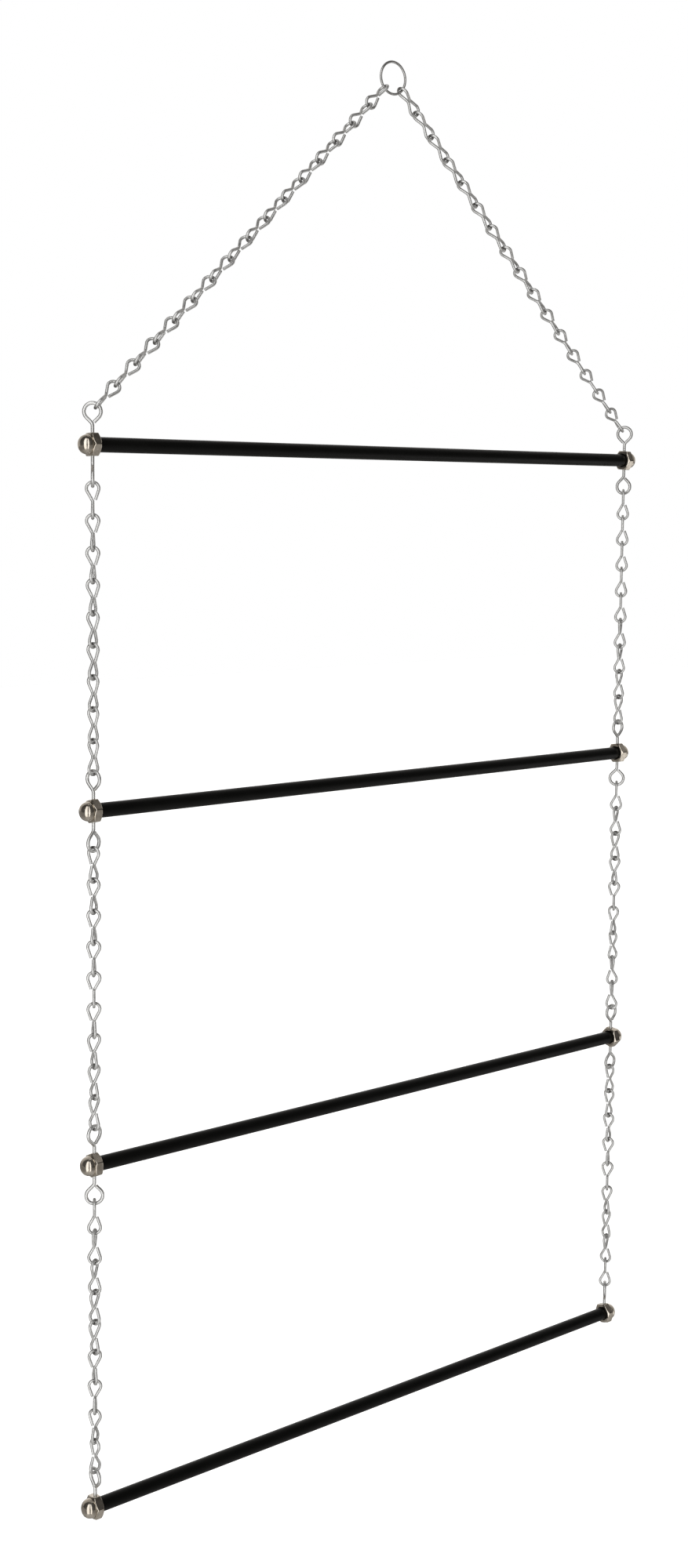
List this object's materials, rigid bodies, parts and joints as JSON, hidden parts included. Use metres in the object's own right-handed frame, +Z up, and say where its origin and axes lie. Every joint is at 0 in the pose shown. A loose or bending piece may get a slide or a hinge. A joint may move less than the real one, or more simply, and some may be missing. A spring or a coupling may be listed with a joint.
{
  "type": "hanging blanket rack",
  "caption": "Hanging blanket rack: straight black bars with domed end nuts, held one below another on two lengths of jack chain, under a chain triangle and a ring for a hook.",
  "frame": {"origin": "the point inside the top of the hanging ring where a hook bears", "axes": "+Z up along the hanging rack, +X along the bars to the right seen from the front, +Y to the back"},
  "size_m": [0.657, 0.022, 1.281],
  "materials": {
    "ring_wire": "satin",
    "chain_wire": "gloss",
    "eye_wire": "gloss",
    "nut_plate": "polished",
    "bar_paint": "satin"
  },
  "bodies": {
    "hanging_ring": {"hanging_ring": "ring_wire"},
    "hanger_chains": {"hanger_link_01": "chain_wire", "hanger_link_02": "chain_wire", "hanger_link_03": "chain_wire", "hanger_link_04": "chain_wire", "hanger_link_05": "chain_wire", "hanger_link_06": "chain_wire", "hanger_link_07": "chain_wire", "hanger_link_08": "chain_wire", "hanger_link_09": "chain_wire", "hanger_link_10": "chain_wire", "hanger_link_11": "chain_wire", "hanger_link_12": "chain_wire", "hanger_link_13": "chain_wire", "hanger_link_14": "chain_wire", "hanger_link_15": "chain_wire", "hanger_link_16": "chain_wire"},
    "bar_1_with_ends": {"bar_1": "bar_paint", "cap_nuts_1": "nut_plate", "eye_wires_1": "eye_wire"},
    "tier_1_link_1": {"tier_1_link_1": "chain_wire"},
    "tier_1_link_2": {"tier_1_link_2": "chain_wire"},
    "tier_1_link_3": {"tier_1_link_3": "chain_wire"},
    "tier_1_link_4": {"tier_1_link_4": "chain_wire"},
    "tier_1_link_5": {"tier_1_link_5": "chain_wire"},
    "tier_1_link_6": {"tier_1_link_6": "chain_wire"},
    "tier_1_link_7": {"tier_1_link_7": "chain_wire"},
    "tier_1_link_8": {"tier_1_link_8": "chain_wire"},
    "tier_1_link_9": {"tier_1_link_9": "chain_wire"},
    "bar_2_with_ends": {"bar_2": "bar_paint", "cap_nuts_2": "nut_plate", "eye_wires_2": "eye_wire"},
    "tier_2_link_1": {"tier_2_link_1": "chain_wire"},
    "tier_2_link_2": {"tier_2_link_2": "chain_wire"},
    "tier_2_link_3": {"tier_2_link_3": "chain_wire"},
    "tier_2_link_4": {"tier_2_link_4": "chain_wire"},
    "tier_2_link_5": {"tier_2_link_5": "chain_wire"},
    "tier_2_link_6": {"tier_2_link_6": "chain_wire"},
    "tier_2_link_7": {"tier_2_link_7": "chain_wire"},
    "tier_2_link_8": {"tier_2_link_8": "chain_wire"},
    "tier_2_link_9": {"tier_2_link_9": "chain_wire"},
    "bar_3_with_ends": {"bar_3": "bar_paint", "cap_nuts_3": "nut_plate", "eye_wires_3": "eye_wire"},
    "tier_3_link_1": {"tier_3_link_1": "chain_wire"},
    "tier_3_link_2": {"tier_3_link_2": "chain_wire"},
    "tier_3_link_3": {"tier_3_link_3": "chain_wire"},
    "tier_3_link_4": {"tier_3_link_4": "chain_wire"},
    "tier_3_link_5": {"tier_3_link_5": "chain_wire"},
    "tier_3_link_6": {"tier_3_link_6": "chain_wire"},
    "tier_3_link_7": {"tier_3_link_7": "chain_wire"},
    "tier_3_link_8": {"tier_3_link_8": "chain_wire"},
    "tier_3_link_9": {"tier_3_link_9": "chain_wire"},
    "bar_4_with_ends": {"bar_4": "bar_paint", "cap_nuts_4": "nut_plate", "eye_wires_4": "eye_wire"}
  },
  "joints": [
    {"name": "hanger_swing", "type": "hinge", "parent": "hanging_ring", "child": "hanger_chains", "pos_m": [0, 0, -0.02327], "axis": [1, 0, 0], "range_deg": [-45, 45]},
    {"name": "bar_1_swing", "type": "hinge", "parent": "hanger_chains", "child": "bar_1_with_ends", "pos_m": [0, 0, -0.32056], "axis": [1, 0.0085, 0], "range_deg": [-25, 25]},
    {"name": "tier_1_link_1_swing", "type": "hinge", "parent": "bar_1_with_ends", "child": "tier_1_link_1", "pos_m": [0, 0, -0.38558], "axis": [1, 0, 0], "range_deg": [-9, 9]},
    {"name": "tier_1_link_2_swing", "type": "hinge", "parent": "tier_1_link_1", "child": "tier_1_link_2", "pos_m": [0, 0, -0.41228], "axis": [1, 0, 0], "range_deg": [-9, 9]},
    {"name": "tier_1_link_3_swing", "type": "hinge", "parent": "tier_1_link_2", "child": "tier_1_link_3", "pos_m": [0, 0, -0.43898], "axis": [1, 0, 0], "range_deg": [-9, 9]},
    {"name": "tier_1_link_4_swing", "type": "hinge", "parent": "tier_1_link_3", "child": "tier_1_link_4", "pos_m": [0, 0, -0.46568], "axis": [1, 0, 0], "range_deg": [-9, 9]},
    {"name": "tier_1_link_5_swing", "type": "hinge", "parent": "tier_1_link_4", "child": "tier_1_link_5", "pos_m": [0, 0, -0.49238], "axis": [1, 0, 0], "range_deg": [-9, 9]},
    {"name": "tier_1_link_6_swing", "type": "hinge", "parent": "tier_1_link_5", "child": "tier_1_link_6", "pos_m": [0, 0, -0.51908], "axis": [1, 0, 0], "range_deg": [-9, 9]},
    {"name": "tier_1_link_7_swing", "type": "hinge", "parent": "tier_1_link_6", "child": "tier_1_link_7", "pos_m": [0, 0, -0.54578], "axis": [1, 0, 0], "range_deg": [-9, 9]},
    {"name": "tier_1_link_8_swing", "type": "hinge", "parent": "tier_1_link_7", "child": "tier_1_link_8", "pos_m": [0, 0, -0.57248], "axis": [1, 0, 0], "range_deg": [-9, 9]},
    {"name": "tier_1_link_9_swing", "type": "hinge", "parent": "tier_1_link_8", "child": "tier_1_link_9", "pos_m": [0, 0, -0.59918], "axis": [1, 0, 0], "range_deg": [-9, 9]},
    {"name": "bar_2_swing", "type": "hinge", "parent": "tier_1_link_9", "child": "bar_2_with_ends", "pos_m": [0, 0, -0.62588], "axis": [1, 0, 0], "range_deg": [-9, 9]},
    {"name": "tier_2_link_1_swing", "type": "hinge", "parent": "bar_2_with_ends", "child": "tier_2_link_1", "pos_m": [0, 0, -0.69048], "axis": [1, 0, 0], "range_deg": [-9, 9]},
    {"name": "tier_2_link_2_swing", "type": "hinge", "parent": "tier_2_link_1", "child": "tier_2_link_2", "pos_m": [0, 0, -0.71718], "axis": [1, 0, 0], "range_deg": [-9, 9]},
    {"name": "tier_2_link_3_swing", "type": "hinge", "parent": "tier_2_link_2", "child": "tier_2_link_3", "pos_m": [0, 0, -0.74388], "axis": [1, 0, 0], "range_deg": [-9, 9]},
    {"name": "tier_2_link_4_swing", "type": "hinge", "parent": "tier_2_link_3", "child": "tier_2_link_4", "pos_m": [0, 0, -0.77058], "axis": [1, 0, 0], "range_deg": [-9, 9]},
    {"name": "tier_2_link_5_swing", "type": "hinge", "parent": "tier_2_link_4", "child": "tier_2_link_5", "pos_m": [0, 0, -0.79728], "axis": [1, 0, 0], "range_deg": [-9, 9]},
    {"name": "tier_2_link_6_swing", "type": "hinge", "parent": "tier_2_link_5", "child": "tier_2_link_6", "pos_m": [0, 0, -0.82398], "axis": [1, 0, 0], "range_deg": [-9, 9]},
    {"name": "tier_2_link_7_swing", "type": "hinge", "parent": "tier_2_link_6", "child": "tier_2_link_7", "pos_m": [0, 0, -0.85068], "axis": [1, 0, 0], "range_deg": [-9, 9]},
    {"name": "tier_2_link_8_swing", "type": "hinge", "parent": "tier_2_link_7", "child": "tier_2_link_8", "pos_m": [0, 0, -0.87738], "axis": [1, 0, 0], "range_deg": [-9, 9]},
    {"name": "tier_2_link_9_swing", "type": "hinge", "parent": "tier_2_link_8", "child": "tier_2_link_9", "pos_m": [0, 0, -0.90408], "axis": [1, 0, 0], "range_deg": [-9, 9]},
    {"name": "bar_3_swing", "type": "hinge", "parent": "tier_2_link_9", "child": "bar_3_with_ends", "pos_m": [0, 0, -0.93078], "axis": [1, 0, 0], "range_deg": [-9, 9]},
    {"name": "tier_3_link_1_swing", "type": "hinge", "parent": "bar_3_with_ends", "child": "tier_3_link_1", "pos_m": [0, 0, -0.99538], "axis": [1, 0, 0], "range_deg": [-9, 9]},
    {"name": "tier_3_link_2_swing", "type": "hinge", "parent": "tier_3_link_1", "child": "tier_3_link_2", "pos_m": [0, 0, -1.02208], "axis": [1, 0, 0], "range_deg": [-9, 9]},
    {"name": "tier_3_link_3_swing", "type": "hinge", "parent": "tier_3_link_2", "child": "tier_3_link_3", "pos_m": [0, 0, -1.04878], "axis": [1, 0, 0], "range_deg": [-9, 9]},
    {"name": "tier_3_link_4_swing", "type": "hinge", "parent": "tier_3_link_3", "child": "tier_3_link_4", "pos_m": [0, 0, -1.07548], "axis": [1, 0, 0], "range_deg": [-9, 9]},
    {"name": "tier_3_link_5_swing", "type": "hinge", "parent": "tier_3_link_4", "child": "tier_3_link_5", "pos_m": [0, 0, -1.10218], "axis": [1, 0, 0], "range_deg": [-9, 9]},
    {"name": "tier_3_link_6_swing", "type": "hinge", "parent": "tier_3_link_5", "child": "tier_3_link_6", "pos_m": [0, 0, -1.12888], "axis": [1, 0, 0], "range_deg": [-9, 9]},
    {"name": "tier_3_link_7_swing", "type": "hinge", "parent": "tier_3_link_6", "child": "tier_3_link_7", "pos_m": [0, 0, -1.15558], "axis": [1, 0, 0], "range_deg": [-9, 9]},
    {"name": "tier_3_link_8_swing", "type": "hinge", "parent": "tier_3_link_7", "child": "tier_3_link_8", "pos_m": [0, 0, -1.18228], "axis": [1, 0, 0], "range_deg": [-9, 9]},
    {"name": "tier_3_link_9_swing", "type": "hinge", "parent": "tier_3_link_8", "child": "tier_3_link_9", "pos_m": [0, 0, -1.20898], "axis": [1, 0, 0], "range_deg": [-9, 9]},
    {"name": "bar_4_swing", "type": "hinge", "parent": "tier_3_link_9", "child": "bar_4_with_ends", "pos_m": [0, 0, -1.23568], "axis": [1, 0, 0], "range_deg": [-9, 9]}
  ],
  "couplings": [
    {"joint": "tier_1_link_2_swing", "follows": "tier_1_link_1_swing", "ratio": 1},
    {"joint": "tier_1_link_3_swing", "follows": "tier_1_link_1_swing", "ratio": 1},
    {"joint": "tier_1_link_4_swing", "follows": "tier_1_link_1_swing", "ratio": 1},
    {"joint": "tier_1_link_5_swing", "follows": "tier_1_link_1_swing", "ratio": 1},
    {"joint": "tier_1_link_6_swing", "follows": "tier_1_link_1_swing", "ratio": 1},
    {"joint": "tier_1_link_7_swing", "follows": "tier_1_link_1_swing", "ratio": 1},
    {"joint": "tier_1_link_8_swing", "follows": "tier_1_link_1_swing", "ratio": 1},
    {"joint": "tier_1_link_9_swing", "follows": "tier_1_link_1_swing", "ratio": 1},
    {"joint": "bar_2_swing", "follows": "tier_1_link_1_swing", "ratio": 1},
    {"joint": "tier_2_link_2_swing", "follows": "tier_2_link_1_swing", "ratio": 1},
    {"joint": "tier_2_link_3_swing", "follows": "tier_2_link_1_swing", "ratio": 1},
    {"joint": "tier_2_link_4_swing", "follows": "tier_2_link_1_swing", "ratio": 1},
    {"joint": "tier_2_link_5_swing", "follows": "tier_2_link_1_swing", "ratio": 1},
    {"joint": "tier_2_link_6_swing", "follows": "tier_2_link_1_swing", "ratio": 1},
    {"joint": "tier_2_link_7_swing", "follows": "tier_2_link_1_swing", "ratio": 1},
    {"joint": "tier_2_link_8_swing", "follows": "tier_2_link_1_swing", "ratio": 1},
    {"joint": "tier_2_link_9_swing", "follows": "tier_2_link_1_swing", "ratio": 1},
    {"joint": "bar_3_swing", "follows": "tier_2_link_1_swing", "ratio": 1},
    {"joint": "tier_3_link_2_swing", "follows": "tier_3_link_1_swing", "ratio": 1},
    {"joint": "tier_3_link_3_swing", "follows": "tier_3_link_1_swing", "ratio": 1},
    {"joint": "tier_3_link_4_swing", "follows": "tier_3_link_1_swing", "ratio": 1},
    {"joint": "tier_3_link_5_swing", "follows": "tier_3_link_1_swing", "ratio": 1},
    {"joint": "tier_3_link_6_swing", "follows": "tier_3_link_1_swing", "ratio": 1},
    {"joint": "tier_3_link_7_swing", "follows": "tier_3_link_1_swing", "ratio": 1},
    {"joint": "tier_3_link_8_swing", "follows": "tier_3_link_1_swing", "ratio": 1},
    {"joint": "tier_3_link_9_swing", "follows": "tier_3_link_1_swing", "ratio": 1},
    {"joint": "bar_4_swing", "follows": "tier_3_link_1_swing", "ratio": 1}
  ]
}
